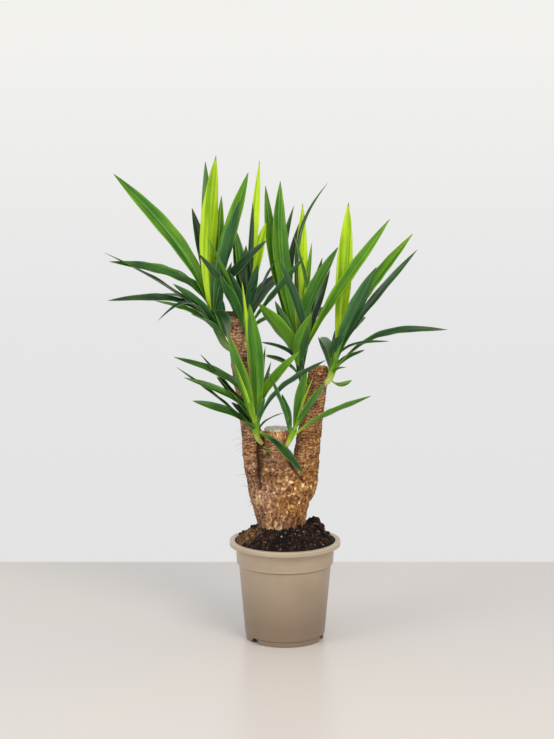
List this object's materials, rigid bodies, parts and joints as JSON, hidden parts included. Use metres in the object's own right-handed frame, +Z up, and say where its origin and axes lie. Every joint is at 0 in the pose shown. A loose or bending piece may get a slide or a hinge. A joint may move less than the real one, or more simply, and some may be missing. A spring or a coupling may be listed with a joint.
{
  "type": "potted yucca",
  "caption": "Forked woody cane with tufts of strap leaves, standing in the soil of a round tapered plastic nursery pot.",
  "frame": {"origin": "on the floor, under the middle of the whole plant's box; the pot's axis stands 16.2 mm to its right and 20.1 mm in front of it", "axes": "+Z up, along the pot's axis; +X to the viewer's right; the front of the plant faces -Y"},
  "size_m": [0.6364, 0.294, 0.9142],
  "materials": {
    "pot_plastic": "satin, moulded",
    "soil": "loose, matt",
    "bark": "rough, matt",
    "wax": "poured wax, dull",
    "left_outer_leaves": "leathery, slightly glossy",
    "left_inner_leaves": "leathery, slightly glossy",
    "right_inner_leaves": "leathery, slightly glossy",
    "right_outer_leaves": "leathery, slightly glossy",
    "low_left_leaves": "leathery, slightly glossy",
    "low_right_leaves": "leathery, slightly glossy",
    "bud_green": "leathery, slightly glossy"
  },
  "bodies": {
    "root": {"pot": "pot_plastic", "potting_soil": "soil", "trunk": "bark", "wax_cap": "wax", "left_outer_head": "left_outer_leaves", "left_inner_head": "left_inner_leaves", "right_inner_head": "right_inner_leaves", "right_outer_head": "right_outer_leaves", "low_left_shoot": "low_left_leaves", "low_right_shoot": "low_right_leaves", "stub_bud": "bud_green"}
  },
  "joints": []
}
